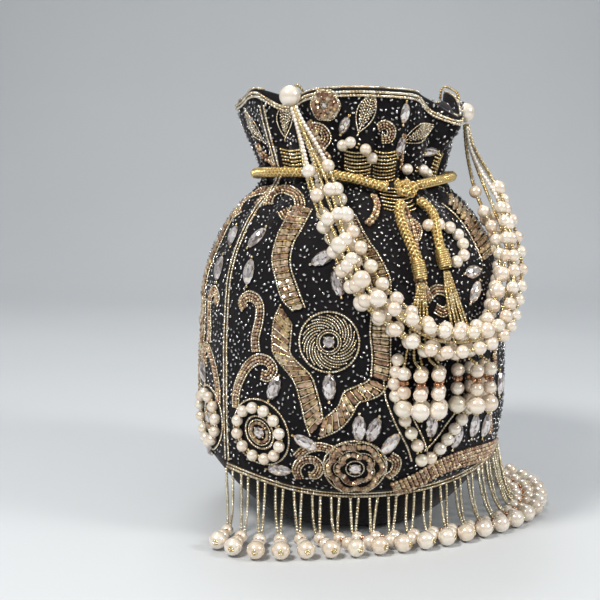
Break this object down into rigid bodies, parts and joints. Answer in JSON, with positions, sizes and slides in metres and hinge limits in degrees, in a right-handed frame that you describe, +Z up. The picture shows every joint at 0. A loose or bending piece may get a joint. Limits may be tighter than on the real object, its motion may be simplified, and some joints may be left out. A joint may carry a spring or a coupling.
{
  "type": "potli bag",
  "caption": "Gathered velvet potli pouch with bead embroidery, drawstring with tassels, swinging pearl-strand handle and beaded fringe.",
  "frame": {"origin": "centre of the flat spot that the bag stands on", "axes": "+Z up, -Y towards the middle of the front panel, side seams on -X and +X"},
  "size_m": [0.2494, 0.2113, 0.2633],
  "materials": {
    "velvet": "black pile, matt with sheen",
    "satin_lining": "satin",
    "bead_edging": "champagne cut beads",
    "gold_cord": "metallic braid",
    "gold_thread": "metallic thread with seed beads",
    "pearl": "faux pearl and seed beads"
  },
  "bodies": {
    "bag": {"front_panel": "velvet", "back_panel": "velvet", "lining": "satin_lining", "rim_trim": "bead_edging", "side_trim_left": "bead_edging", "side_trim_right": "bead_edging", "bottom_trim": "bead_edging", "drawstring": "gold_cord", "drawstring_knot": "gold_cord", "drawstring_tail_left": "gold_cord", "drawstring_tail_right": "gold_cord", "tassel_wrap_left": "gold_cord", "tassel_wrap_right": "gold_cord", "tassel_left": "pearl", "tassel_right": "pearl", "handle_loop_left": "gold_thread", "handle_loop_right": "gold_thread", "fringe_pendant_01": "pearl", "fringe_pendant_02": "pearl", "fringe_pendant_03": "pearl", "fringe_pendant_04": "pearl", "fringe_pendant_05": "pearl", "fringe_pendant_06": "pearl", "fringe_pendant_07": "pearl", "fringe_pendant_08": "pearl", "fringe_pendant_09": "pearl", "fringe_pendant_10": "pearl", "fringe_pendant_11": "pearl", "fringe_pendant_12": "pearl", "fringe_pendant_13": "pearl", "fringe_pendant_14": "pearl", "fringe_pendant_15": "pearl", "fringe_pendant_16": "pearl", "fringe_pendant_17": "pearl", "fringe_pendant_18": "pearl", "fringe_pendant_19": "pearl", "fringe_pendant_20": "pearl", "fringe_pendant_21": "pearl", "fringe_pendant_22": "pearl", "fringe_pendant_23": "pearl", "fringe_pendant_24": "pearl", "fringe_pendant_25": "pearl", "fringe_pendant_26": "pearl"},
    "handle": {"handle_pearl_left": "pearl", "handle_pearl_right": "pearl", "handle_strand_1": "pearl", "handle_strand_2": "pearl", "handle_strand_3": "pearl", "handle_strand_4": "pearl", "handle_strand_5": "pearl", "handle_strand_6": "pearl", "handle_strand_7": "pearl"}
  },
  "joints": [
    {"name": "handle_swing", "type": "hinge", "parent": "bag", "child": "handle", "pos_m": [-0.06907, -0.02791, 0.2527], "axis": [-0.9812, 0.187, 0.0484], "range_deg": [0, 150]}
  ]
}
